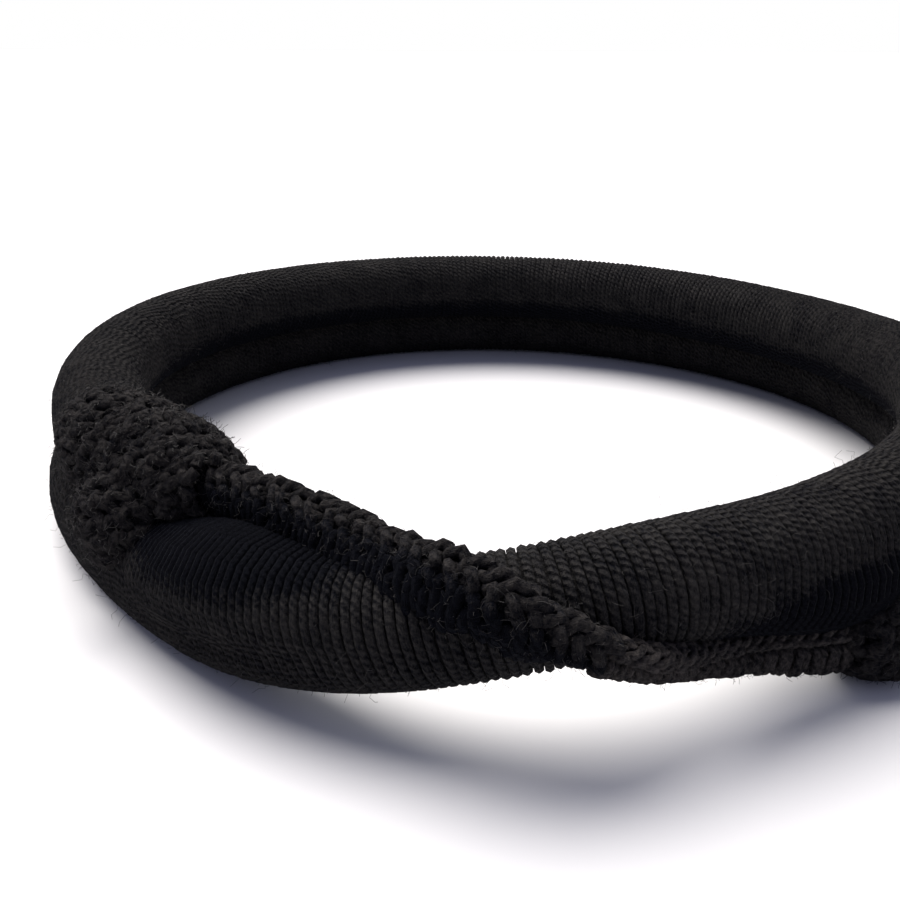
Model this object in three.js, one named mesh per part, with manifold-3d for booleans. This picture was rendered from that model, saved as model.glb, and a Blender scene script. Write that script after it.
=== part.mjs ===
// Igal head cord: one padded wool cord wound about 1.7 times round into a head ring, lying on a
// table. Its upper end stops in a crocheted knot at the left of the front, its lower end in
// another at the right, and a narrow crocheted band crosses the front from knot to knot.
// Millimetres, +Z up, the front of the ring towards -Y, the origin under the middle of its box.
import * as THREE from 'three';
import { mergeVertices } from 'three/addons/utils/BufferGeometryUtils.js';
import Module from 'manifold-3d';

// Driving dimensions.
const cordRadius = 9;
const cordSides = 20;
const cordSteps = 108;
const turnSpacing = 18.3;          // between the two turns' centrelines, 0.3 more than a cord
const upperEndAngle = 219;         // degrees round the ring; the cord runs clockwise from here
const lowerEndAngle = -401;
const crossingAngle = -98;         // where the cord comes down from the upper turn to the lower
const crossingHalfLength = 30;     // degrees of ring on each side of it
const crossingBulge = 9.6;         // how far the ring stands out at the crossing
const gap = 0.3;                   // between pieces that touch

// Each turn is a circle with a few long waves in its radius: waves per turn, height, direction.
const upperTurn = { radius: 93.8, waves: [[2, 2.3, 109], [3, 0.7, 17]] };
const lowerTurn = { radius: 97, waves: [[1, 8.8, 95], [2, 0.8, 41], [3, 1.6, 9]] };

// A 20-sided cord lies on a flat facet, so its centreline is one apothem above the table.
const restHeight = cordRadius * Math.cos(Math.PI / cordSides);

// The knots: ellipsoids given by their middle, half lengths and turn about Z in degrees.
const upperKnotLobes = [
  { middle: [-61.5, -62.6, 25.5], half: [14.5, 11.4, 11], turn: -40 },
  { middle: [-64, -72, 19], half: [9, 7, 9.5], turn: -45 },
];
const lowerKnotLobes = [
  { middle: [67, -67.5, 8.9], half: [16, 10, 8.7], turn: 60 },
  { middle: [61, -79, 8.6], half: [8, 8.5, 8.2], turn: 60 },
];
const lobeSides = 20;
const lobeRings = 12;

// The crossing band: points on its middle line, how far its face leans up from facing straight
// outward (degrees), and its width there.
const bandThickness = 4;
const bandSides = 12;
const bandSteps = 52;
const bandRoute = [
  { at: [-61, -64, 25.5], lean: 45, width: 8 },
  { at: [-49, -74.5, 27.2], lean: 48, width: 8.2 },
  { at: [-35.3, -85.5, 28], lean: 55, width: 8.4 },
  { at: [-24.5, -94, 28.8], lean: 68, width: 8.6 },
  { at: [-14.3, -102.6, 29.9], lean: 78, width: 8.8 },
  { at: [-7.5, -108.7, 30], lean: 62, width: 8.8 },
  { at: [-1.2, -112.6, 28.5], lean: 42, width: 8.8 },
  { at: [6, -114.3, 25.1], lean: 18, width: 8.4 },
  { at: [13.2, -112, 20.2], lean: -10, width: 7.6 },
  { at: [21, -106.5, 15.4], lean: -28, width: 6.6 },
  { at: [29.5, -98.3, 11.8], lean: -8, width: 6.8 },
  { at: [39.3, -91.8, 9.4], lean: 4, width: 7 },
  { at: [49.3, -88.6, 8.2], lean: 8, width: 7 },
  { at: [57.5, -83.5, 8.2], lean: 10, width: 7 },
  { at: [63, -75, 8.5], lean: 10, width: 7 },
];

const radians = THREE.MathUtils.degToRad;
const up = new THREE.Vector3(0, 0, 1);

function turnRadius(turn, angle) {
  const wave = ([count, height, direction]) => height * Math.cos(count * radians(angle - direction));
  return turn.waves.reduce((sum, each) => sum + wave(each), turn.radius);
}

// The cord's centreline. The upper turn rests on the lower one: where it runs a little inside or
// outside the lower turn, it sinks until the two are turnSpacing apart.
class CordRoute extends THREE.Curve {
  getPoint(t, target = new THREE.Vector3()) {
    const angle = THREE.MathUtils.lerp(upperEndAngle, lowerEndAngle, t);
    const upper = turnRadius(upperTurn, angle);
    const lower = turnRadius(lowerTurn, angle);
    const start = crossingAngle + crossingHalfLength;
    const down = THREE.MathUtils.smootherstep(start - angle, 0, 2 * crossingHalfLength);
    const offset = (angle - crossingAngle) / (0.8 * crossingHalfLength);
    const radius = THREE.MathUtils.lerp(upper, lower, down) + crossingBulge * Math.exp(-offset * offset);
    const rise = Math.sqrt(turnSpacing ** 2 - (upper - lower) ** 2);
    return target.set(
      radius * Math.cos(radians(angle)),
      radius * Math.sin(radians(angle)),
      restHeight + rise * (1 - down),
    );
  }

  // Keeps one side of the section facing straight down all the way round.
  computeFrenetFrames(segments) {
    const frames = { tangents: [], normals: [], binormals: [] };
    for (let i = 0; i <= segments; i += 1) {
      const tangent = this.getTangentAt(i / segments);
      const normal = up.clone().cross(tangent).normalize();
      frames.tangents.push(tangent);
      frames.normals.push(normal);
      frames.binormals.push(tangent.clone().cross(normal));
    }
    return frames;
  }
}

// The band's middle line, with its face leaning and its width changing along the way.
class BandRoute extends THREE.CatmullRomCurve3 {
  constructor(stations) {
    super(stations.map(({ at }) => new THREE.Vector3(...at)), false, 'centripetal');
    this.stations = stations;
  }

  valueAt(key, u) {
    const place = this.getUtoTmapping(u) * (this.stations.length - 1);
    const index = Math.min(Math.floor(place), this.stations.length - 2);
    const [before, after] = [this.stations[index][key], this.stations[index + 1][key]];
    return THREE.MathUtils.lerp(before, after, THREE.MathUtils.smoothstep(place - index, 0, 1));
  }

  // The frame's x runs through the thickness, and its y across the band, scaled to the width.
  computeFrenetFrames(segments) {
    const frames = { tangents: [], normals: [], binormals: [] };
    for (let i = 0; i <= segments; i += 1) {
      const tangent = this.getTangentAt(i / segments);
      const lean = radians(this.valueAt('lean', i / segments));
      const outward = this.getPointAt(i / segments).setZ(0).normalize();
      const normal = outward.multiplyScalar(Math.cos(lean)).addScaledVector(up, Math.sin(lean));
      normal.addScaledVector(tangent, -normal.dot(tangent)).normalize();
      frames.tangents.push(tangent);
      frames.normals.push(normal);
      const across = tangent.clone().cross(normal);
      frames.binormals.push(across.multiplyScalar(this.valueAt('width', i / segments)));
    }
    return frames;
  }
}

// A polygon with a flat side towards each of its four quarters.
function sectionShape(sides, halfWide, halfHigh) {
  const corner = (i) => radians(360 * (i + 0.5) / sides);
  const corners = Array.from({ length: sides }, (_, i) => new THREE.Vector2(
    halfWide * Math.cos(corner(i)),
    halfHigh * Math.sin(corner(i)),
  ));
  return new THREE.Shape(corners);
}

function cordGeometry(radius, steps) {
  return new THREE.ExtrudeGeometry(sectionShape(cordSides, radius, radius), {
    steps,
    extrudePath: new CordRoute(),
  });
}

function bandGeometry() {
  // Half of 1 across: the frames carry the band's width.
  return new THREE.ExtrudeGeometry(sectionShape(bandSides, bandThickness / 2, 0.5), {
    steps: bandSteps,
    extrudePath: new BandRoute(bandRoute),
  });
}

function lobeGeometry({ middle, half, turn }, swell) {
  const lobe = new THREE.SphereGeometry(1, lobeSides, lobeRings);
  lobe.rotateX(Math.PI / 2);
  lobe.scale(...half.map((length) => length + swell));
  lobe.rotateZ(radians(turn));
  return lobe.translate(...middle);
}

const wasm = await Module();
wasm.setup();

function toSolid(geometry) {
  const shared = geometry.clone();
  shared.deleteAttribute('normal');
  shared.deleteAttribute('uv');
  const merged = mergeVertices(shared, 1e-4);
  return new wasm.Manifold(new wasm.Mesh({
    numProp: 3,
    vertProperties: merged.attributes.position.array,
    triVerts: Uint32Array.from(merged.index.array),
  }));
}

function toGeometry(solid) {
  const mesh = solid.getMesh();
  const geometry = new THREE.BufferGeometry();
  geometry.setAttribute('position', new THREE.BufferAttribute(mesh.vertProperties, 3));
  geometry.setIndex(new THREE.BufferAttribute(mesh.triVerts, 1));
  geometry.computeVertexNormals();
  return geometry;
}

function knotSolid(lobes, swell = 0) {
  const solids = lobes.map((lobe) => toSolid(lobeGeometry(lobe, swell)));
  return solids.reduce((whole, lobe) => whole.add(lobe));
}

// Each knot is hollowed where the cord runs through it, and the band stops short of both knots.
const cordAndGap = toSolid(cordGeometry(cordRadius + gap, cordSteps));
const upperKnot = knotSolid(upperKnotLobes).subtract(cordAndGap);
const lowerKnot = knotSolid(lowerKnotLobes).subtract(cordAndGap);
const band = toSolid(bandGeometry())
  .subtract(knotSolid(upperKnotLobes, gap))
  .subtract(knotSolid(lowerKnotLobes, gap))
  .subtract(cordAndGap);

const pieces = {
  head_cord: { geometry: cordGeometry(cordRadius, cordSteps), color: 0x1c1b1d, roughness: 0.95 },
  upper_end_knot: { geometry: toGeometry(upperKnot), color: 0x1e1c1e, roughness: 0.95 },
  lower_end_knot: { geometry: toGeometry(lowerKnot), color: 0x1e1c1e, roughness: 0.95 },
  crossing_band: { geometry: toGeometry(band), color: 0x211e20, roughness: 0.95 },
};

// The origin goes under the middle of the whole piece's box, on the table.
const box = new THREE.Box3();
for (const { geometry } of Object.values(pieces)) {
  geometry.computeBoundingBox();
  box.union(geometry.boundingBox);
}
const middle = box.getCenter(new THREE.Vector3());

const igal = new THREE.Group();
for (const [name, { geometry, color, roughness }] of Object.entries(pieces)) {
  geometry.translate(-middle.x, -middle.y, -box.min.z);
  const material = new THREE.MeshStandardMaterial({ color, roughness, metalness: 0 });
  const mesh = new THREE.Mesh(geometry, material);
  mesh.name = name;
  igal.add(mesh);
}

export default igal;
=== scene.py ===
# An igal, the black wool head cord worn over a head scarf, lying on a pale table.
import math

import bpy
import numpy as np
from mathutils import Matrix, Vector


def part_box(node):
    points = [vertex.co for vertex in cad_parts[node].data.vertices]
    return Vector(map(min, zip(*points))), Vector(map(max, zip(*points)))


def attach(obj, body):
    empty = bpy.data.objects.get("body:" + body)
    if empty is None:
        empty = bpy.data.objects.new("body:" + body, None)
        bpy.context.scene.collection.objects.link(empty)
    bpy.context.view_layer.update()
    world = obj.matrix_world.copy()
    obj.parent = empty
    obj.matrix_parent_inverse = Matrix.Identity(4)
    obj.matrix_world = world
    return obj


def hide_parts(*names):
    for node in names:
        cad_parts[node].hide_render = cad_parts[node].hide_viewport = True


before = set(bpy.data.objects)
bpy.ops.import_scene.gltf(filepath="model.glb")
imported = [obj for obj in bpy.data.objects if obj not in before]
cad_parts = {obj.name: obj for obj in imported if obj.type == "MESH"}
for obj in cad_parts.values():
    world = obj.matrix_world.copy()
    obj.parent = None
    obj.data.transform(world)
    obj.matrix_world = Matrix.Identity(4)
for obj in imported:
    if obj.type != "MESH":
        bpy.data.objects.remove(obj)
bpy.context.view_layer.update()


# --- The cord's route ------------------------------------------------------------------------
# One wool cord is wound about 1.7 times round to make the ring. It starts at the left of the
# front as the upper turn, comes down across the front, and ends at the right as the lower one.
# Lengths are in mm and angles in degrees, counted round the ring from its right-hand side.
MM = 0.001
CORD_RADIUS = 9.0
CORD_FLATS = 20
REST_HEIGHT = CORD_RADIUS * math.cos(math.pi / CORD_FLATS)  # The cord lies on one of its flats.
TURN_SPACING = 18.3
UPPER_END, LOWER_END = 219.0, -401.0
CROSSING_ANGLE, CROSSING_HALF = -98.0, 30.0
BULGE, BULGE_SPREAD = 9.6, 24.0  # The cord swings outwards where it comes down.
ROUTE_POINTS = 1200
# Each turn is a circle with a few long waves in its radius: waves per turn, height, direction.
UPPER_TURN = (93.8, ((2, 2.3, 109), (3, 0.7, 17)))
LOWER_TURN = (97.0, ((1, 8.8, 95), (2, 0.8, 41), (3, 1.6, 9)))


def turn_radius(turn, angle):
    radius, waves = turn
    return radius + sum(height * np.cos(count * np.radians(angle - direction))
                        for count, height, direction in waves)


def smootherstep(x):
    """0 below 0, 1 above 1, and a soft rise between."""
    x = np.clip(x, 0, 1)
    return x**3 * (10 - 15 * x + 6 * x * x)


def cord_route(first, last, count):
    """Points on the cord's centreline in mm, from one angle round the ring to another."""
    angle = np.linspace(first, last, count)
    upper, lower = turn_radius(UPPER_TURN, angle), turn_radius(LOWER_TURN, angle)
    down = smootherstep((CROSSING_ANGLE + CROSSING_HALF - angle) / (2 * CROSSING_HALF))
    bulge = BULGE * np.exp(-(((angle - CROSSING_ANGLE) / BULGE_SPREAD) ** 2))
    radius = upper + (lower - upper) * down + bulge
    rise = np.sqrt(TURN_SPACING**2 - (upper - lower) ** 2)
    turn = np.radians(angle)
    height = REST_HEIGHT + rise * (1 - down)
    return np.column_stack([radius * np.cos(turn), radius * np.sin(turn), height])


# The ring's middle in the frame, from where the frame has the cord.
whole_route = cord_route(UPPER_END, LOWER_END, ROUTE_POINTS)
low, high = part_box("head_cord")
ring_middle = Vector((low + high) / 2) / MM
ring_middle.x -= (whole_route[:, 0].min() + whole_route[:, 0].max()) / 2
ring_middle.y -= (whole_route[:, 1].min() + whole_route[:, 1].max()) / 2
ring_middle.z = 0.0


def placed(points):
    """Points in mm round the ring's middle, as metres in the frame."""
    return (np.asarray(points, float) + np.array(ring_middle)) * MM


# --- Camera, table and light -------------------------------------------------------------------
# The ring lies on a pale table top. The eye is 24 cm from the ring's middle and looks down at
# about 22 degrees, and a wide soft lamp behind and above lights the ring in a pale surround.
eye_distance, eye_elevation, eye_base = 240.3, math.radians(20.92), 8.9
look_left, look_down, look_roll = math.radians(3.49), math.radians(21.86), math.radians(0.19)
camera = bpy.data.objects.new("camera", bpy.data.cameras.new("camera"))
camera.data.lens = 40.04
camera.data.clip_start = 0.01
eye = (0, -eye_distance * math.cos(eye_elevation),
       eye_distance * math.sin(eye_elevation) + eye_base)
camera.matrix_world = (
    Matrix.Translation(Vector(placed(eye)))
    @ Matrix.Rotation(look_left, 4, "Z")
    @ Matrix.Rotation(math.pi / 2 - look_down, 4, "X")
    @ Matrix.Rotation(look_roll, 4, "Z")
)
bpy.context.scene.collection.objects.link(camera)
bpy.context.scene.camera = camera
bpy.context.scene.view_settings.view_transform = "Standard"


def linear(hex_colour):
    """An sRGB hex colour as linear red, green, blue and alpha."""
    parts = [int(hex_colour[i:i + 2], 16) / 255 for i in (1, 3, 5)]
    return [p / 12.92 if p <= 0.04045 else ((p + 0.055) / 1.055) ** 2.4 for p in parts] + [1.0]


def add(tree, kind, inputs=(), **settings):
    """Adds one node: settings are its properties, inputs are its sockets by name or number.
    An input is a value, a socket, or a node, which stands for its first output."""
    node = tree.nodes.new(kind)
    for name, value in settings.items():
        setattr(node, name, value)
    for key, value in dict(inputs).items():
        value = value.outputs[0] if isinstance(value, bpy.types.Node) else value
        if isinstance(value, bpy.types.NodeSocket):
            tree.links.new(value, node.inputs[key])
        else:
            node.inputs[key].default_value = value
    return node


def empty_material(name):
    material = bpy.data.materials.new(name)
    material.use_nodes = True
    material.node_tree.nodes.clear()
    return material


def two_tone(nodes, value, *tones):
    """A ramp between two hex colours, each with the value at which it is reached."""
    colour = add(nodes, "ShaderNodeValToRGB", {0: value})
    for element, (position, hex_colour) in zip(colour.color_ramp.elements, tones):
        element.position = position
        element.color = linear(hex_colour)
    return colour


# Pale grey melamine table top, far wider than the view: smooth and satin, so it takes a soft
# shadow and mirrors nothing.
table_top = empty_material("pale_melamine")
shader = add(table_top.node_tree, "ShaderNodeBsdfPrincipled",
             {"Base Color": linear("#cbcbcd"), "Roughness": 0.7, "Specular IOR Level": 0.2})
add(table_top.node_tree, "ShaderNodeOutputMaterial", {"Surface": shader})
half_table = 30.0
table_mesh = bpy.data.meshes.new("table")
table_mesh.from_pydata([(-half_table, -half_table, 0), (half_table, -half_table, 0),
                        (half_table, half_table, 0), (-half_table, half_table, 0)],
                       [], [(0, 1, 2, 3)])
table_mesh.materials.append(table_top)
table = bpy.data.objects.new("table", table_mesh)
bpy.context.scene.collection.objects.link(table)

# The surround is white behind the ring and a dusky blue-grey in front of it, which puts a faint
# blue into the shaded wool.
world = bpy.data.worlds.new("pale_surround")
world.use_nodes = True
surround = world.node_tree
towards = add(surround, "ShaderNodeSeparateXYZ", {0: add(
    surround, "ShaderNodeTexCoord").outputs["Generated"]})
dusky_until, white_from = -0.2, 0.75
behind = add(surround, "ShaderNodeMapRange",
             {0: towards.outputs[1], 1: dusky_until, 2: white_from, 3: 0.0, 4: 1.0},
             interpolation_type="SMOOTHSTEP")
wall = add(surround, "ShaderNodeMix", {0: behind, 6: linear("#8e92ae"), 7: linear("#ffffff")},
           data_type="RGBA")
surround.links.new(wall.outputs[2], surround.nodes["Background"].inputs["Color"])
bpy.context.scene.world = world
lamp = bpy.data.objects.new("soft_lamp", bpy.data.lights.new("soft_lamp", "SUN"))
lamp.data.energy, lamp.data.angle = 7.0, math.radians(60)
lamp.data.color = linear("#fffaf4")[:3]
lamp_azimuth, lamp_elevation = math.radians(126), math.radians(64)
towards_lamp = Vector((math.cos(lamp_azimuth) * math.cos(lamp_elevation),
                       math.sin(lamp_azimuth) * math.cos(lamp_elevation), math.sin(lamp_elevation)))
lamp.location = towards_lamp
lamp.rotation_euler = (-towards_lamp).to_track_quat("-Z", "Y").to_euler()
bpy.context.scene.collection.objects.link(lamp)


# --- Cord: padded core and wound yarn ------------------------------------------------------------
# The cord is a soft padded core with one thick two-ply yarn of black wool and goat hair wound
# tightly round it, turn against turn, about 726 turns in all. The yarn's turns show as ribs
# across the cord, and its plies as slanting dashes along each rib.
CORE_RADIUS = 8.1
YARN_PITCH = 1.45
YARN_WIDTH, YARN_HEIGHT = 1.52, 1.38
YARN_UNEVENNESS = 0.28
YARN_SIDES, POINTS_PER_TURN = 6, 22
PLY_LENGTH = 2.6  # of yarn for one turn of its plies


def new_tree(name, sockets):
    """A Geometry Nodes tree with Geometry in and out and the named inputs."""
    tree = bpy.data.node_groups.new(name, "GeometryNodeTree")
    tree.interface.new_socket("Geometry", in_out="OUTPUT", socket_type="NodeSocketGeometry")
    tree.interface.new_socket("Geometry", in_out="INPUT", socket_type="NodeSocketGeometry")
    for socket, kind in sockets.items():
        tree.interface.new_socket(socket, in_out="INPUT", socket_type="NodeSocket" + kind)
    return tree, tree.nodes.new("NodeGroupInput"), tree.nodes.new("NodeGroupOutput")


def grow(name, tree, source, **values):
    """Runs a tree on a curve or mesh and gives the result as a plain mesh object."""
    carrier = bpy.data.objects.new(name + "_carrier", source)
    bpy.context.scene.collection.objects.link(carrier)
    modifier = carrier.modifiers.new("nodes", "NODES")
    modifier.node_group = tree
    for item in tree.interface.items_tree:
        if item.in_out == "INPUT" and item.name in values:
            modifier[item.identifier] = values[item.name]
    evaluated = carrier.evaluated_get(bpy.context.evaluated_depsgraph_get())
    mesh = bpy.data.meshes.new_from_object(evaluated)
    carrier.modifiers.remove(modifier)
    bpy.data.objects.remove(carrier)
    mesh.name = name
    piece = bpy.data.objects.new(name, mesh)
    bpy.context.scene.collection.objects.link(piece)
    return piece


def poly_curve(name, *paths, swelling=None):
    """A curve of straight steps through each path's points, with their radius if it is given."""
    curve = bpy.data.curves.new(name, "CURVE")
    curve.dimensions = "3D"
    for points in paths:
        spline = curve.splines.new("POLY")
        spline.points.add(len(points) - 1)
        spline.points.foreach_set("co", np.column_stack([points, np.ones(len(points))]).ravel())
        if swelling is not None:
            spline.points.foreach_set("radius", swelling)
    return curve


# Black wool and goat-hair yarn, spun thick and plied in pairs: matt, with a faint sheen of stray
# fibres, its colour varying at random from deep blue-black to brown-grey, with painted shade in the
# grooves between the plies. The grain is drawn coarser than real fibres, which are too fine to show:
# how many there are to a metre.
SPECKS, TUFTS, PATCHES = 1.9 / MM, 0.62 / MM, 0.15 / MM
# Painted shade: the first darkens the grooves between the plies, the second darkens marked wool.
PLY_GROOVE_SHADE, PAINTED_SHADE_DEPTH = 0.1, 1.2
PLY_SLACK, SLACK_PER_MM = 4.5, 0.09  # The plies' twist wanders, in radians and per mm of yarn.
DEEP_UNTIL, LIT_FROM = 0.38, 0.66


def woollen(name, deep, lit, ply_length):
    material = empty_material(name)
    nodes = material.node_tree
    strand = add(nodes, "ShaderNodeAttribute", attribute_name="strand")
    parts = add(nodes, "ShaderNodeSeparateXYZ", {0: strand.outputs["Vector"]})
    side = add(nodes, "ShaderNodeMath", {0: parts.outputs[2], 1: parts.outputs[1]},
               operation="ARCTAN2")
    slack = add(nodes, "ShaderNodeTexNoise",
                {"W": parts.outputs[0], "Scale": SLACK_PER_MM, "Detail": 1.0},
                noise_dimensions="1D")
    slack = add(nodes, "ShaderNodeMath", {0: slack, 1: PLY_SLACK, 2: side},
                operation="MULTIPLY_ADD")
    twist = add(nodes, "ShaderNodeMath",
                {0: parts.outputs[0], 1: 2 * math.pi / ply_length, 2: slack},
                operation="MULTIPLY_ADD")
    both_plies = add(nodes, "ShaderNodeMath", {0: twist, 1: 2.0}, operation="MULTIPLY")
    ply = add(nodes, "ShaderNodeMath", {0: both_plies}, operation="SINE")
    place = add(nodes, "ShaderNodeTexCoord").outputs["Object"]
    # Fibres run along the yarn: the streaks they make are about 1 mm long and 0.3 mm wide.
    lengthways = add(nodes, "ShaderNodeVectorMath",
                     {0: strand.outputs["Vector"], 1: (0.6, 2.4, 2.4)}, operation="MULTIPLY")
    fibres = add(nodes, "ShaderNodeTexNoise",
                 {"Vector": lengthways, "Scale": 1.7, "Detail": 3.0, "Roughness": 0.7})
    specks = add(nodes, "ShaderNodeTexNoise",
                 {"Vector": place, "Scale": SPECKS, "Detail": 2.0, "Roughness": 0.7})
    tufts = add(nodes, "ShaderNodeTexNoise", {"Vector": place, "Scale": TUFTS, "Detail": 2.0})
    patches = add(nodes, "ShaderNodeTexNoise", {"Vector": place, "Scale": PATCHES, "Detail": 2.0})
    relief = add(nodes, "ShaderNodeMath", {0: ply, 1: tufts}, operation="ADD")
    for noise in (fibres, specks):
        relief = add(nodes, "ShaderNodeMath", {0: noise, 1: 3.0, 2: relief},
                     operation="MULTIPLY_ADD")
    bump = add(nodes, "ShaderNodeBump", {"Height": relief, "Strength": 1.0, "Distance": 0.3 * MM})
    # The tone is the mean of the four noises, with the plies' painted groove shade on top.
    weights = ((fibres, 1.0), (specks, 1.2), (tufts, 0.5), (patches, 0.6))
    tone = add(nodes, "ShaderNodeMath", {0: ply, 1: PLY_GROOVE_SHADE}, operation="MULTIPLY")
    for noise, weight in weights:
        tone = add(nodes, "ShaderNodeMath", {0: noise, 1: weight, 2: tone},
                   operation="MULTIPLY_ADD")
    # Painted shade: where the attribute marks wool in shade, the tone is pushed down to deep black.
    unfaded = add(nodes, "ShaderNodeAttribute", attribute_name="unfaded")
    tone = add(nodes, "ShaderNodeMath", {0: unfaded.outputs["Fac"], 1: -PAINTED_SHADE_DEPTH, 2: tone},
               operation="MULTIPLY_ADD")
    tone = add(nodes, "ShaderNodeMath", {0: tone, 1: 1 / sum(weight for _, weight in weights)},
               operation="MULTIPLY")
    colour = two_tone(nodes, tone, (DEEP_UNTIL, deep), (LIT_FROM, lit))
    shader = add(nodes, "ShaderNodeBsdfPrincipled", {
        "Base Color": colour, "Roughness": 0.95, "Specular IOR Level": 0.05, "Sheen Weight": 0.03,
        "Sheen Roughness": 0.45, "Sheen Tint": linear("#7c829c"), "Normal": bump})
    add(nodes, "ShaderNodeOutputMaterial", {"Surface": shader})
    return material


wool = woollen("black_wool_yarn", "#010207", "#393735", PLY_LENGTH)


def sweep_yarn(tree, path, width, height, sides):
    """Sweeps an oval of yarn along a path. Its strand attribute is the mm along the path, then
    the side of the yarn as a cosine and a sine."""
    distance = add(tree, "ShaderNodeMath",
                   {0: add(tree, "GeometryNodeSplineParameter").outputs["Length"], 1: 1 / MM},
                   operation="MULTIPLY")
    path = add(tree, "GeometryNodeStoreNamedAttribute",
               {"Geometry": path, "Name": "distance", "Value": distance}, data_type="FLOAT")
    circle = add(tree, "GeometryNodeCurvePrimitiveCircle", {"Resolution": sides, "Radius": 0.5})
    side = add(tree, "ShaderNodeVectorMath",
               {0: add(tree, "GeometryNodeInputPosition"), 3: 2.0}, operation="SCALE")
    circle = add(tree, "GeometryNodeStoreNamedAttribute",
                 {"Geometry": circle, "Name": "side", "Value": side}, data_type="FLOAT_VECTOR")
    oval = add(tree, "ShaderNodeCombineXYZ", {0: height, 1: width, 2: 1.0})
    section = add(tree, "GeometryNodeTransform", {"Geometry": circle, "Scale": oval})
    yarn = add(tree, "GeometryNodeCurveToMesh",
               {"Curve": path, "Profile Curve": section, "Fill Caps": True})
    side = add(tree, "ShaderNodeSeparateXYZ", {0: add(
        tree, "GeometryNodeInputNamedAttribute", {"Name": "side"}, data_type="FLOAT_VECTOR")})
    strand = add(tree, "ShaderNodeCombineXYZ", {
        0: add(tree, "GeometryNodeInputNamedAttribute", {"Name": "distance"}, data_type="FLOAT"),
        1: side.outputs[0], 2: side.outputs[1]})
    return add(tree, "GeometryNodeStoreNamedAttribute",
               {"Geometry": yarn, "Name": "strand", "Value": strand}, data_type="FLOAT_VECTOR")


def hand_over(tree, geometry, given, result):
    """Ends a tree with real geometry in the material that it was given."""
    real = add(tree, "GeometryNodeRealizeInstances", {"Geometry": geometry})
    dressed = add(tree, "GeometryNodeSetMaterial",
                  {"Geometry": real, "Material": given.outputs["Material"]})
    tree.links.new(dressed.outputs[0], result.inputs[0])


# Winds one yarn round a route, a little loose in places and wandering a little sideways.
LOOSENESS_STEP, WANDER_SCALE = 0.83, 0.8
WANDER_SHIFT = 71.3  # It sets the wandering far enough along the noise to be unlike the looseness.
LUMPS = 0.055 / MM  # One soft lump in the core about every 18 mm.
winding, given, result = new_tree("wind_yarn", {
    "Yarn Turns": "Int", "Points per Turn": "Int", "Winding Radius": "Float",
    "Yarn Width": "Float", "Yarn Height": "Float", "Unevenness": "Float", "Seed": "Float",
    "Material": "Material"})
level = add(winding, "GeometryNodeSetCurveNormal", {"Curve": given.outputs["Geometry"]},
            mode="Z_UP")
count = add(winding, "ShaderNodeMath",
            {0: given.outputs["Yarn Turns"], 1: given.outputs["Points per Turn"]}, operation="MULTIPLY")
steps = add(winding, "GeometryNodeResampleCurve", {"Curve": level, "Count": count}, mode="COUNT")
index = add(winding, "GeometryNodeInputIndex")
turns = add(winding, "ShaderNodeMath", {0: index, 1: given.outputs["Points per Turn"]},
            operation="DIVIDE")
angle = add(winding, "ShaderNodeMath", {0: turns, 1: 2 * math.pi}, operation="MULTIPLY")
along = add(winding, "GeometryNodeInputTangent")
turn = add(winding, "FunctionNodeAxisAngleToRotation", {"Axis": along, "Angle": angle})
radial = add(winding, "FunctionNodeRotateVector",
             {"Vector": add(winding, "GeometryNodeInputNormal"), "Rotation": turn})
marked = add(winding, "GeometryNodeStoreNamedAttribute",
             {"Geometry": steps, "Name": "radial", "Value": radial}, data_type="FLOAT_VECTOR")
per_turn = add(winding, "ShaderNodeMath", {0: turns, 1: LOOSENESS_STEP, 2: given.outputs["Seed"]},
               operation="MULTIPLY_ADD")
loose = add(winding, "ShaderNodeTexNoise", {"W": per_turn, "Scale": 1.0, "Detail": 1.0},
            noise_dimensions="1D")
shifted = add(winding, "ShaderNodeMath", {0: per_turn, 1: WANDER_SHIFT}, operation="ADD")
wander = add(winding, "ShaderNodeTexNoise", {"W": shifted, "Scale": WANDER_SCALE, "Detail": 1.0},
             noise_dimensions="1D")
lumps = add(winding, "ShaderNodeTexNoise", {"Scale": LUMPS, "Detail": 1.0}, noise_dimensions="3D")
swell = add(winding, "ShaderNodeMath", {0: loose, 1: lumps}, operation="ADD")
swell = add(winding, "ShaderNodeMath", {0: swell, 1: -1.0}, operation="ADD")
radius = add(winding, "ShaderNodeMath", {
    0: swell, 1: given.outputs["Unevenness"], 2: given.outputs["Winding Radius"]},
    operation="MULTIPLY_ADD")
# What the route's radius is over ROUND is how many mm the cord is pushed up out of round there,
# and what it is under ROUND is how far it sags.
ROUND = 10.0
upward = add(winding, "ShaderNodeSeparateXYZ", {0: radial})
push = add(winding, "ShaderNodeMath", {0: add(winding, "GeometryNodeInputRadius"), 1: ROUND},
           operation="SUBTRACT")
pushed = add(winding, "ShaderNodeMath", {0: push, 1: upward.outputs[2]}, operation="MULTIPLY")
pushed = add(winding, "ShaderNodeMath", {0: pushed, 1: 0.0}, operation="MAXIMUM")
radius = add(winding, "ShaderNodeMath", {0: pushed, 1: MM, 2: radius}, operation="MULTIPLY_ADD")
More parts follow.
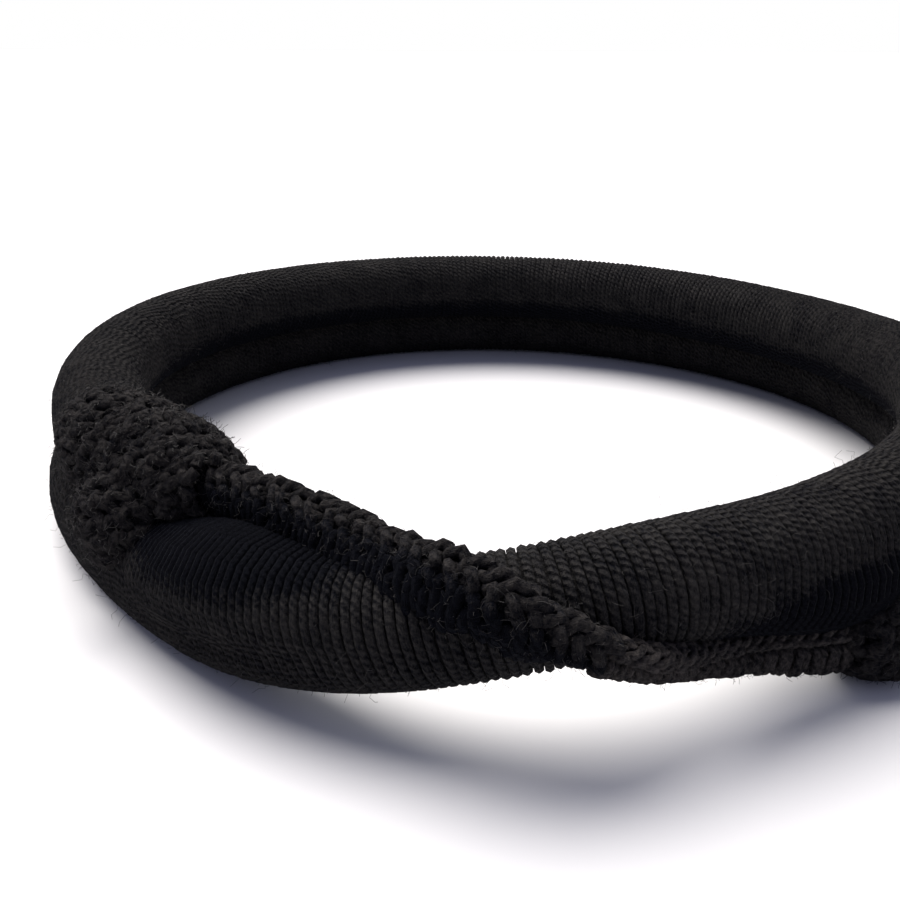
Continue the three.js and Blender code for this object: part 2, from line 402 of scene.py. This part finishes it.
# Painted shade goes only on the crown of the hump, under the band and knot, and on the
# underside of the sag.
PAINTED_SHADE_PER_MM, HUMP_SHADE_CUT_PER_MM, SHADE_THRESHOLD = 0.8, 0.48, 0.35
hump = add(winding, "ShaderNodeMath", {0: push, 1: 0.0}, operation="MAXIMUM")
unfaded = add(winding, "ShaderNodeMath", {0: hump, 1: -HUMP_SHADE_CUT_PER_MM, 2: -SHADE_THRESHOLD},
              operation="MULTIPLY_ADD")
unfaded = add(winding, "ShaderNodeMath", {0: pushed, 1: PAINTED_SHADE_PER_MM, 2: unfaded},
              operation="MULTIPLY_ADD", use_clamp=True)
marked = add(winding, "GeometryNodeStoreNamedAttribute",
             {"Geometry": marked, "Name": "unfaded", "Value": unfaded}, data_type="FLOAT")
outward = add(winding, "ShaderNodeVectorMath", {0: radial, 3: radius}, operation="SCALE")
drift = add(winding, "ShaderNodeMath", {0: wander, 1: -0.5}, operation="ADD")
drift = add(winding, "ShaderNodeMath", {0: drift, 1: given.outputs["Unevenness"]},
            operation="MULTIPLY")
sideways = add(winding, "ShaderNodeVectorMath", {0: along, 3: drift}, operation="SCALE")
offset = add(winding, "ShaderNodeVectorMath", {0: outward, 1: sideways}, operation="ADD")
helix = add(winding, "GeometryNodeSetPosition", {"Geometry": marked, "Offset": offset})
# Where the cord rests, the yarn is pressed flat against the table.
place = add(winding, "ShaderNodeSeparateXYZ", {0: add(winding, "GeometryNodeInputPosition")})
least = add(winding, "ShaderNodeMath", {0: given.outputs["Yarn Height"], 1: 0.5},
            operation="MULTIPLY")
above = add(winding, "ShaderNodeMath", {0: place.outputs[2], 1: least}, operation="MAXIMUM")
pressed = add(winding, "ShaderNodeCombineXYZ",
              {0: place.outputs[0], 1: place.outputs[1], 2: above})
helix = add(winding, "GeometryNodeSetPosition", {"Geometry": helix, "Position": pressed})
saved = add(winding, "GeometryNodeInputNamedAttribute", {"Name": "radial"},
            data_type="FLOAT_VECTOR")
facing = add(winding, "GeometryNodeSetCurveNormal", {"Curve": helix, "Normal": saved},
             mode="FREE")
facing = add(winding, "GeometryNodeSetCurveRadius", {"Curve": facing, "Radius": 1.0})
yarn = sweep_yarn(winding, facing, given.outputs["Yarn Width"], given.outputs["Yarn Height"],
                  YARN_SIDES)
smooth = add(winding, "GeometryNodeSetShadeSmooth", {"Geometry": yarn})
hand_over(winding, smooth, given, result)

route = placed(whole_route)
length = float(np.linalg.norm(np.diff(route, axis=0), axis=1).sum())
yarn_turns = round(length / (YARN_PITCH * MM))
# Under the band the slack cord is pushed up towards it, and at the right it sags on to it: how
# many mm, at which angle, and over how many degrees.
PUSHES = ((7.2, -115.0, 13.5), (-6.5, -58.0, 11.0))
# The upper turn's underside settles on to the lower turn, up to where the cord comes down.
SETTLING, SETTLES_AFTER, SETTLES_OVER = 1.7, -50.0, 20.0
route_angle = np.linspace(UPPER_END, LOWER_END, len(route))
pushed = ROUND + sum(height * np.exp(-(((route_angle - angle) / spread) ** 2))
                     for height, angle, spread in PUSHES)
pushed -= SETTLING * smootherstep((route_angle - SETTLES_AFTER) / SETTLES_OVER)
cord = grow("wound_yarn", winding, poly_curve("cord_route", route, swelling=pushed), **{
    "Yarn Turns": yarn_turns, "Points per Turn": POINTS_PER_TURN,
    "Winding Radius": (CORD_RADIUS - YARN_HEIGHT / 2) * MM, "Yarn Width": YARN_WIDTH * MM,
    "Yarn Height": YARN_HEIGHT * MM, "Unevenness": YARN_UNEVENNESS * MM, "Seed": 3.0,
    "Material": wool})
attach(cord, "root")
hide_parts("head_cord")
print("cord", round(length, 4), "m,", yarn_turns, "turns,", len(cord.data.polygons), "faces")

# The core is a plain tube under the yarn, on every sixth point of the route.
core_curve = poly_curve("core_route", route[::6])
core_curve.bevel_depth = CORE_RADIUS * MM
core_curve.bevel_resolution = 4
core_curve.use_fill_caps = True
core_carrier = bpy.data.objects.new("core_carrier", core_curve)
bpy.context.scene.collection.objects.link(core_carrier)
core_mesh = bpy.data.meshes.new_from_object(
    core_carrier.evaluated_get(bpy.context.evaluated_depsgraph_get()))
bpy.data.objects.remove(core_carrier)
core = bpy.data.objects.new("padded_core", core_mesh)
core_mesh.materials.clear()
core_mesh.materials.append(wool)
bpy.context.scene.collection.objects.link(core)
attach(core, "root")
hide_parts("head_cord")


# --- Crochet ---------------------------------------------------------------------------------
# The knots and the band are crocheted with the same black wool, used double. A row of stitches
# is laid out flat and then bent along its route: 1 along is a stitch, 1 across is half the row's
# width, and 1 out is half the row's thickness. The route carries its half width as a vector.
DOUBLED_PLY_LENGTH = 3.4
STRAND_POINTS, STRAND_SIDES = 6, 7
FILLER_SIDES, FILLER_WIDTH, FILLER_THICKNESS = 10, 0.95, 0.6
CURL_FROM, PAINTED_SHADE_FROM, PAINTED_SHADE_RISE = 0.3, 0.3, 1.6
crochet, given, result = new_tree("crochet_row", {
    "Route": "Object", "Stitches": "Int", "Points per Strand": "Int", "Yarn Width": "Float",
    "Thickness": "Float", "Curl": "Float", "Painted Shade Below": "Float", "Unevenness": "Float",
    "Seed": "Float", "Material": "Material"})
smooth_strands = add(crochet, "GeometryNodeCurveSplineType",
                     {"Curve": given.outputs["Geometry"]}, spline_type="CATMULL_ROM")
stitch = add(crochet, "GeometryNodeResampleCurve",
             {"Curve": smooth_strands, "Count": given.outputs["Points per Strand"]}, mode="COUNT")
line = add(crochet, "GeometryNodeMeshLine",
           {"Count": given.outputs["Stitches"], "Offset": (1, 0, 0)})
row = add(crochet, "GeometryNodeInstanceOnPoints", {"Points": line, "Instance": stitch})
row = add(crochet, "GeometryNodeRealizeInstances", {"Geometry": row})
flat = add(crochet, "GeometryNodeInputPosition")
seeded = add(crochet, "ShaderNodeVectorMath", {0: flat, 1: given.outputs["Seed"]},
             operation="ADD")
uneven = add(crochet, "ShaderNodeTexNoise", {"Vector": seeded, "Scale": 0.9, "Detail": 1.0})
uneven = add(crochet, "ShaderNodeVectorMath", {0: uneven.outputs["Color"], 1: (0.5, 0.5, 0.5)},
             operation="SUBTRACT")
uneven = add(crochet, "ShaderNodeVectorMath", {0: uneven, 3: given.outputs["Unevenness"]},
             operation="SCALE")
row = add(crochet, "GeometryNodeSetPosition", {"Geometry": row, "Offset": uneven})
# A solid filler inside the row closes the gaps between the stitches.
filler = add(crochet, "GeometryNodeMeshCylinder", {
    "Vertices": FILLER_SIDES, "Side Segments": given.outputs["Stitches"], "Radius": 1.0, "Depth": 1.0})
spot = add(crochet, "ShaderNodeSeparateXYZ", {0: flat})
lengthways = add(crochet, "ShaderNodeMath", {0: spot.outputs[2], 1: 0.5}, operation="ADD")
lengthways = add(crochet, "ShaderNodeMath", {0: lengthways, 1: given.outputs["Stitches"]},
                 operation="MULTIPLY")
widthways = add(crochet, "ShaderNodeMath", {0: spot.outputs[0], 1: FILLER_WIDTH},
                operation="MULTIPLY")
outways = add(crochet, "ShaderNodeMath", {0: spot.outputs[1], 1: FILLER_THICKNESS},
              operation="MULTIPLY")
laid = add(crochet, "ShaderNodeCombineXYZ", {0: lengthways, 1: widthways, 2: outways})
filler = add(crochet, "GeometryNodeSetPosition",
             {"Geometry": filler.outputs["Mesh"], "Position": laid})
route_mesh = add(crochet, "GeometryNodeObjectInfo", {"Object": given.outputs["Route"]})
route_curve = add(crochet, "GeometryNodeMeshToCurve", {"Mesh": route_mesh.outputs["Geometry"]})
route_curve = add(crochet, "GeometryNodeCurveSplineType", {"Curve": route_curve},
                  spline_type="CATMULL_ROM")
share = add(crochet, "ShaderNodeMath", {0: spot.outputs[0], 1: given.outputs["Stitches"]},
            operation="DIVIDE")
half_width = add(crochet, "GeometryNodeInputNamedAttribute", {"Name": "half_width"},
                 data_type="FLOAT_VECTOR")
on_route = add(crochet, "GeometryNodeSampleCurve",
               {"Curves": route_curve, "Value": half_width, "Factor": share},
               data_type="FLOAT_VECTOR", mode="FACTOR")
out = add(crochet, "ShaderNodeVectorMath",
          {0: on_route.outputs["Value"], 1: on_route.outputs["Tangent"]}, operation="CROSS_PRODUCT")
out = add(crochet, "ShaderNodeVectorMath", {0: out}, operation="NORMALIZE")
thick = add(crochet, "ShaderNodeMath", {0: spot.outputs[2], 1: given.outputs["Thickness"]},
            operation="MULTIPLY")
# The lower edge curls back from the row's face.
below = add(crochet, "ShaderNodeMath", {0: spot.outputs[1], 1: CURL_FROM}, operation="MINIMUM")
below = add(crochet, "ShaderNodeMath", {0: below, 1: -CURL_FROM}, operation="ADD")
below = add(crochet, "ShaderNodeMath", {0: below, 1: below}, operation="MULTIPLY")
below = add(crochet, "ShaderNodeMath", {0: below, 1: given.outputs["Curl"]}, operation="MULTIPLY")
thick = add(crochet, "ShaderNodeMath", {0: thick, 1: below}, operation="ADD")
out = add(crochet, "ShaderNodeVectorMath", {0: out, 3: thick}, operation="SCALE")
across = add(crochet, "ShaderNodeVectorMath", {0: on_route.outputs["Value"], 3: spot.outputs[1]},
             operation="SCALE")
bent = add(crochet, "ShaderNodeVectorMath", {0: on_route.outputs["Position"], 1: across},
           operation="ADD")
bent = add(crochet, "ShaderNodeVectorMath", {0: bent, 1: out}, operation="ADD")
# Nothing is let down into the table.
place = add(crochet, "ShaderNodeSeparateXYZ", {0: bent})
least = add(crochet, "ShaderNodeMath", {0: given.outputs["Yarn Width"], 1: 0.5},
            operation="MULTIPLY")
above = add(crochet, "ShaderNodeMath", {0: place.outputs[2], 1: least}, operation="MAXIMUM")
bent = add(crochet, "ShaderNodeCombineXYZ", {0: place.outputs[0], 1: place.outputs[1], 2: above})
# The row's lower half can be darkened with painted shade.
lower_half_shade = add(crochet, "ShaderNodeMath", {0: spot.outputs[1], 1: -PAINTED_SHADE_RISE, 2: PAINTED_SHADE_FROM},
             operation="MULTIPLY_ADD", use_clamp=True)
lower_half_shade = add(crochet, "ShaderNodeMath", {0: lower_half_shade, 1: given.outputs["Painted Shade Below"]},
             operation="MULTIPLY")
row = add(crochet, "GeometryNodeStoreNamedAttribute",
          {"Geometry": row, "Name": "unfaded", "Value": lower_half_shade}, data_type="FLOAT")
filler = add(crochet, "GeometryNodeStoreNamedAttribute",
             {"Geometry": filler, "Name": "unfaded", "Value": lower_half_shade}, data_type="FLOAT")
row = add(crochet, "GeometryNodeSetPosition", {"Geometry": row, "Position": bent})
filler = add(crochet, "GeometryNodeSetPosition", {"Geometry": filler, "Position": bent})
strands = sweep_yarn(crochet, row, given.outputs["Yarn Width"], given.outputs["Yarn Width"],
                     STRAND_SIDES)
joined = crochet.nodes.new("GeometryNodeJoinGeometry")
crochet.links.new(filler.outputs[0], joined.inputs[0])
crochet.links.new(strands.outputs[0], joined.inputs[0])
smooth = add(crochet, "GeometryNodeSetShadeSmooth", {"Geometry": joined})
hand_over(crochet, smooth, given, result)

# The same wool used double is coarser, so its plies are longer; its light colour is a little
# darker, and it takes the same painted shade between the plies.
doubled_wool = woollen("doubled_black_wool", "#010207", "#373432", DOUBLED_PLY_LENGTH)


def crocheted(name, node, stitch, points, half_widths, stitch_length, yarn, **values):
    """A row of one stitch, repeated along a route of points in mm. It stands for a CAD node."""
    points, half_widths = np.asarray(points, float), np.asarray(half_widths, float)
    line = bpy.data.meshes.new(name + "_route")
    line.from_pydata(placed(points).tolist(), [(i, i + 1) for i in range(len(points) - 1)], [])
    widths = line.attributes.new("half_width", "FLOAT_VECTOR", "POINT")
    widths.data.foreach_set("vector", (half_widths * MM).ravel())
    route = bpy.data.objects.new(name + "_route", line)
    bpy.context.scene.collection.objects.link(route)
    length = np.linalg.norm(np.diff(points, axis=0), axis=1).sum()
    stitches = round(length / stitch_length)
    piece = grow(name, crochet, poly_curve(name + "_stitch", *stitch), **{
        "Route": route, "Stitches": stitches, "Points per Strand": STRAND_POINTS,
        "Yarn Width": yarn * MM, "Material": doubled_wool, **values})
    bpy.data.objects.remove(route)
    print(name, round(length, 1), "mm,", stitches, "stitches,", len(piece.data.polygons), "faces")
    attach(piece, "root")
    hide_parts(node)
    return piece


# --- Knots -------------------------------------------------------------------------------------
# Each end of the cord is closed by a crocheted sock that is drawn over it, stuffed, and pulled
# into a fat knot. It is worked in the round: one spiral row of V-shaped stitches.
ROW_HEIGHT, POINTS_PER_ROW = 3.2, 30
KNOT_STITCH, KNOT_YARN, KNOT_THICKNESS = 2.9, 2.1, 0.7
LUMP, LUMPY_AFTER, LUMPY_OVER = 0.06, 4.5, 9.0
V_STITCH = [[(0.1, 0.9, 0.1), (0.0, 0.5, 1.0), (0.25, -0.3, 1.1), (0.5, -1.0, 0.2)],
            [(0.9, 0.9, 0.1), (1.0, 0.5, 1.0), (0.75, -0.3, 1.1), (0.5, -1.0, 0.2)]]


def spiral(stations):
    """A spiral row over a sock: its stations are middle x, y, z, half width and half height.
    Gives the row's points and its half width as vectors."""
    stations = np.array(stations, float)
    steps = np.linalg.norm(np.diff(stations[:, :3], axis=0), axis=1)
    gone = np.concatenate([[0], np.cumsum(steps)])
    surface = np.concatenate([[0], np.cumsum(np.hypot(np.diff(gone), np.diff(stations[:, 3])))])
    t = np.linspace(0, surface[-1], int(surface[-1] / ROW_HEIGHT * POINTS_PER_ROW))
    middle = np.column_stack([np.interp(t, surface, stations[:, i]) for i in range(5)])
    # The straight steps between stations are smoothed over one row.
    kernel = np.hanning(POINTS_PER_ROW + 1)[1:-1]
    margin = POINTS_PER_ROW // 2 - 1
    padded = np.vstack([np.repeat(middle[:1], margin, 0), middle,
                        np.repeat(middle[-1:], margin, 0)])
    middle = np.column_stack([np.convolve(padded[:, i], kernel / kernel.sum(), "valid")
                              for i in range(5)])
    axis = np.gradient(middle[:, :3], axis=0)
    axis /= np.linalg.norm(axis, axis=1)[:, None]
    level = np.cross(axis, (0, 0, 1))
    level /= np.linalg.norm(level, axis=1)[:, None]
    upright = np.cross(level, axis)
    turn = 2 * np.pi * t / ROW_HEIGHT
    # The stuffing makes the sock lumpy, but not where it grips the cord.
    lumps = LUMP * np.cos(2 * turn + 0.9 * t) + LUMP * np.cos(3 * turn - 1.3 * t + 1)
    lumps = 1 + lumps * np.clip((t - LUMPY_AFTER) / LUMPY_OVER, 0, 1)
    middle[:, 3:] *= lumps[:, None]
    around = (level * (middle[:, 3] * np.cos(turn))[:, None]
              + upright * (middle[:, 4] * np.sin(turn))[:, None])
    points = middle[:, :3] + around
    last_row = points[-POINTS_PER_ROW:] + axis[-POINTS_PER_ROW:] * ROW_HEIGHT
    ahead = np.vstack([points[POINTS_PER_ROW:], last_row])
    return points, (ahead - points) / 2


upper_end = cord_route(UPPER_END - 2, UPPER_END, 3)
lower_end = cord_route(LOWER_END + 2, LOWER_END, 3)
knots = {}
for name, node, unevenness, seed, stations in (
        ("upper_knot_crochet", "upper_end_knot", 1.6, 5.0, [
            (*upper_end[0], 8.4, 8.4), (*upper_end[2], 9.0, 8.9),
            (-67.0, -60.2, 25.8, 9.6, 9.2), (-61.8, -63.2, 25.2, 10.0, 9.3),
            (-57.0, -66.8, 25.2, 9.2, 8.6), (-53.0, -70.4, 25.8, 7.5, 7.2),
            (-50.2, -73.0, 26.6, 5.2, 5.4), (-48.6, -74.6, 27.0, 2.6, 3.2)]),
        # A fold of the sock hangs from the knot on to the lower turn.
        ("upper_knot_fold", "upper_end_knot", 1.5, 7.0, [
            (-66.5, -69.0, 25.5, 2.5, 2.5), (-65.8, -70.0, 24.2, 6.0, 5.0),
            (-64.6, -71.6, 21.0, 8.2, 6.2), (-63.2, -73.0, 17.5, 8.0, 5.8),
            (-62.2, -74.2, 14.2, 6.2, 4.6), (-61.6, -75.0, 11.9, 2.6, 2.2)]),
        ("lower_knot_crochet", "lower_end_knot", 1.5, 9.0, [
            (*lower_end[0], 8.6, 8.2), (*lower_end[2], 9.2, 8.2),
            (69.5, -66.0, 8.9, 9.4, 8.2), (66.5, -71.0, 8.9, 9.2, 8.0),
            (63.5, -76.5, 8.8, 8.6, 7.8), (60.6, -81.0, 8.7, 6.8, 6.8),
            (58.6, -84.6, 8.6, 4.4, 4.8), (57.4, -86.4, 8.5, 2.2, 2.6)]),
        # The band's end is drawn out of a second, smaller lump in front.
        ("lower_knot_fold", "lower_end_knot", 1.4, 12.0, [
            (53.5, -86.2, 8.4, 2.6, 2.8), (56.0, -84.4, 8.4, 5.6, 5.6),
            (59.5, -81.2, 8.4, 7.2, 7.2), (63.5, -77.5, 8.5, 7.8, 7.6),
            (67.5, -73.6, 8.7, 7.0, 7.0), (70.5, -70.8, 8.8, 3.0, 3.4)])):
    points, half_widths = spiral(stations)
    knots[name] = crocheted(name, node, V_STITCH, points, half_widths, KNOT_STITCH, KNOT_YARN, **{
        "Thickness": KNOT_THICKNESS * MM, "Unevenness": unevenness, "Seed": seed})


# --- Crossing band -------------------------------------------------------------------------------
# A flat crocheted band of doubled black wool runs from knot to knot across the front and holds
# the crossing closed. Under a foundation chain along its upper edge, it is worked in knobbly
# stitches from the upper knot to past the crossing, and in long posts from there on.
BAND_THICKNESS, BAND_EDGE = 1.2, 0.6
BAND_ROUTE = [  # x, y, z, lean of its face in degrees above level, width
    (-61, -64, 25.5, 45, 8), (-49, -74.5, 27.4, 48, 8.4), (-35.3, -85.5, 28.5, 55, 8.6),
    (-24.5, -94, 28.8, 68, 8.6), (-14.3, -102.6, 29.5, 78, 8.6), (-7.5, -108.7, 29.7, 62, 8.6),
    (-1.2, -112.6, 28.5, 42, 8.8), (6, -114.3, 25.1, 18, 8.4), (13.2, -112, 20.8, -10, 7.6),
    (21, -106.8, 16.3, -24, 7.8), (29.5, -99.2, 12.7, -8, 8.0), (39.3, -92.5, 9.9, 4, 8.0),
    (49.3, -89, 8.5, 8, 8.6), (57.5, -83.9, 7.9, 10, 8.8), (63, -75, 8.1, 10, 7.6)]
EDGE_CHAIN = [[(0.0, 0.5, 0.5), (0.3, 0.8, 1.2), (0.8, 1.0, 0.8), (1.2, 0.95, -0.2)],
              [(0.5, 0.5, -0.5), (0.8, 0.75, -1.1), (1.3, 1.0, -0.8), (1.7, 0.95, 0.2)]]
BOBBLES = [[(0.1, 0.5, 0.0), (0.2, 0.4, 1.4), (0.5, 0.15, 1.4), (0.5, 0.05, 0.0)],
           [(0.6, 0.0, 0.0), (0.7, -0.1, 1.4), (0.95, -0.4, 1.3), (0.9, -0.6, 0.0)],
           [(0.25, -0.2, 0.2), (0.15, -0.4, 1.2), (0.25, -0.85, 1.0), (0.3, -1.05, 0.0)],
           [(0.75, -0.6, 0.2), (0.65, -0.7, 1.0), (0.7, -0.95, 0.8), (0.75, -1.05, 0.0)]]
POSTS = [[(0.1, 0.35, 0.2), (0.2, 0.6, 1.4), (0.7, 0.6, 1.4), (0.8, 0.35, 0.2)],
         [(0.3, 0.2, 0.0), (0.28, 0.0, 1.2), (0.3, -0.7, 1.1), (0.3, -1.05, 0.0)],
         [(0.62, 0.2, 0.0), (0.64, 0.0, 1.2), (0.62, -0.7, 1.1), (0.62, -1.05, 0.0)]]


def both_faces(strands):
    """A stitch's strands on the row's face, and the same again on its back."""
    return strands + [[(x, y, -z) for x, y, z in strand] for strand in strands]


stations = np.array(BAND_ROUTE, float)
along = np.gradient(stations[:, :3], axis=0)
along /= np.linalg.norm(along, axis=1)[:, None]
outward = stations[:, :3] * (1, 1, 0)
outward /= np.linalg.norm(outward, axis=1)[:, None]
lean = np.radians(stations[:, 3])[:, None]
face = outward * np.cos(lean) + np.array([0, 0, 1]) * np.sin(lean)
across = np.cross(along, face)
across /= np.linalg.norm(across, axis=1)[:, None]
across *= np.sign(across[:, 2:3] * 10 + across[:, 1:2])  # It points up, or back where level.
half_widths = across * (stations[:, 4:5] / 2 - BAND_EDGE)
# The ribbed band's wool is given lighter colours: painted light that lifts it out of the shade
# the cord casts on it.
painted_light_wool = woollen("painted_light_black_wool", "#07080c", "#55504d", DOUBLED_PLY_LENGTH)
bands = {}
# The last column is how much painted shade darkens each band's lower half.
for name, stitches, material, reach, stitch_length, yarn, unevenness, curl, unfaded in (
        ("knobbly_band", BOBBLES, doubled_wool, slice(0, 9), 3.1, 1.9, 1.1, 1.9, 0.5),
        ("ribbed_band", POSTS, painted_light_wool, slice(8, 15), 2.8, 1.25, 0.45, 0.4, 0.0)):
    bands[name] = crocheted(
        name, "crossing_band", EDGE_CHAIN + both_faces(stitches), stations[reach, :3],
        half_widths[reach], stitch_length, yarn, **{
            "Thickness": BAND_THICKNESS * MM, "Curl": curl * MM, "Painted Shade Below": unfaded,
            "Unevenness": unevenness, "Seed": 2.0, "Material": material})


# --- Fuzz --------------------------------------------------------------------------------------
# Short fibres of wool and goat hair work loose from every strand and stand off it in a thin
# fuzz. A few long stiff goat hairs stick out further and catch the light.
MOST_TILT, SHORTEST = 1.15, 0.25  # in radians, and as a part of the longest
CURLS = 0.7 / MM
HAIR_SIDES = 3
fuzz, given, result = new_tree("fuzz", {
    "Hairs per Area": "Float", "Lift": "Float", "Hair Length": "Float", "Hair Width": "Float",
    "Seed": "Int", "Material": "Material"})
lift = add(fuzz, "ShaderNodeVectorMath",
           {0: add(fuzz, "GeometryNodeInputNormal"), 3: given.outputs["Lift"]}, operation="SCALE")
skin = add(fuzz, "GeometryNodeSetPosition",
           {"Geometry": given.outputs["Geometry"], "Offset": lift})
roots = add(fuzz, "GeometryNodeDistributePointsOnFaces", {
    "Mesh": skin, "Density": given.outputs["Hairs per Area"], "Seed": given.outputs["Seed"]})
hair = add(fuzz, "GeometryNodeCurveQuadraticBezier",
           {"Resolution": 2, "Start": (0, 0, 0), "Middle": (0.1, 0, 0.55), "End": (0.6, 0, 0.8)})
tilt = add(fuzz, "FunctionNodeRandomValue", {
    0: (-MOST_TILT, -MOST_TILT, 0), 1: (MOST_TILT, MOST_TILT, 2 * math.pi),
    "Seed": given.outputs["Seed"]}, data_type="FLOAT_VECTOR")
tilt = add(fuzz, "FunctionNodeEulerToRotation", {0: tilt.outputs[0]})
pose = add(fuzz, "FunctionNodeRotateRotation",
           {"Rotation": roots.outputs["Rotation"], "Rotate By": tilt}, rotation_space="LOCAL")
size = add(fuzz, "FunctionNodeRandomValue",
           {2: SHORTEST, 3: 1.0, "Seed": given.outputs["Seed"]}, data_type="FLOAT")
size = add(fuzz, "ShaderNodeMath", {0: size.outputs[1], 1: given.outputs["Hair Length"]},
           operation="MULTIPLY")
hairs = add(fuzz, "GeometryNodeInstanceOnPoints",
            {"Points": roots.outputs["Points"], "Instance": hair, "Rotation": pose, "Scale": size})
hairs = add(fuzz, "GeometryNodeRealizeInstances", {"Geometry": hairs})
curl = add(fuzz, "ShaderNodeTexNoise", {"Scale": CURLS, "Detail": 1.0})
curl = add(fuzz, "ShaderNodeVectorMath", {0: curl.outputs["Color"], 1: (0.5, 0.5, 0.5)},
           operation="SUBTRACT")
curl = add(fuzz, "ShaderNodeVectorMath", {0: curl, 3: given.outputs["Hair Length"]},
           operation="SCALE")
hairs = add(fuzz, "GeometryNodeSetPosition", {"Geometry": hairs, "Offset": curl})
place = add(fuzz, "ShaderNodeSeparateXYZ", {0: add(fuzz, "GeometryNodeInputPosition")})
above = add(fuzz, "ShaderNodeMath", {0: place.outputs[2], 1: given.outputs["Hair Width"]},
            operation="MAXIMUM")
place = add(fuzz, "ShaderNodeCombineXYZ", {0: place.outputs[0], 1: place.outputs[1], 2: above})
hairs = add(fuzz, "GeometryNodeSetPosition", {"Geometry": hairs, "Position": place})
half = add(fuzz, "ShaderNodeMath", {0: given.outputs["Hair Width"], 1: 0.5},
           operation="MULTIPLY")
section = add(fuzz, "GeometryNodeCurvePrimitiveCircle", {"Resolution": HAIR_SIDES, "Radius": half})
hairs = add(fuzz, "GeometryNodeCurveToMesh",
            {"Curve": hairs, "Profile Curve": section, "Fill Caps": True})
hand_over(fuzz, hairs, given, result)

# Loose goat hair: black-brown, lighter than the yarn because each fibre is lit from all round.
# Its shade changes about every 1.2 mm.
goat_hair = empty_material("loose_goat_hair")
nodes = goat_hair.node_tree
place = add(nodes, "ShaderNodeTexCoord").outputs["Object"]
shades = add(nodes, "ShaderNodeTexNoise", {"Vector": place, "Scale": 0.8 / MM, "Detail": 1.0})
colour = two_tone(nodes, shades, (0.35, "#09090b"), (0.7, "#2e2b2b"))
shader = add(nodes, "ShaderNodeBsdfPrincipled", {
    "Base Color": colour, "Roughness": 0.6, "Specular IOR Level": 0.3})
add(nodes, "ShaderNodeOutputMaterial", {"Surface": shader})

# Each piece's fuzz: what it grows on, the node it goes with, a slot name, how far off the skin
# its roots are, hairs to a square mm, their greatest length, their width and the seed.
for name, skin, node, slot, lift, density, hair_length, hair_width, seed in (
        ("cord_down", core, "head_cord", "wound_wool", 0.75, 0.145, 1.15, 0.065, 1),
        ("cord_goat_hairs", core, "head_cord", "wound_wool", 0.7, 0.04, 3.6, 0.06, 2),
        ("upper_knot_down", knots["upper_knot_crochet"], "upper_end_knot", "crocheted_wool",
         0.0, 0.31, 2.2, 0.09, 3),
        ("upper_fold_down", knots["upper_knot_fold"], "upper_end_knot", "crocheted_wool",
         0.0, 0.36, 2.2, 0.09, 3),
        ("lower_knot_down", knots["lower_knot_crochet"], "lower_end_knot", "crocheted_wool",
         0.0, 0.23, 1.9, 0.07, 4),
        ("lower_fold_down", knots["lower_knot_fold"], "lower_end_knot", "crocheted_wool",
         0.0, 0.25, 1.9, 0.07, 4),
        ("knobbly_band_down", bands["knobbly_band"], "crossing_band", "crocheted_wool",
         0.0, 0.3, 1.7, 0.07, 5),
        ("ribbed_band_down", bands["ribbed_band"], "crossing_band", "crocheted_wool",
         0.0, 0.3, 1.5, 0.06, 6)):
    down = grow(name, fuzz, skin.data.copy(), **{
        "Lift": lift * MM, "Hairs per Area": density / MM**2, "Hair Length": hair_length * MM,
        "Hair Width": hair_width * MM, "Seed": seed, "Material": goat_hair})
    print(name, len(down.data.polygons), "faces")
    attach(down, "root")
    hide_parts(node)
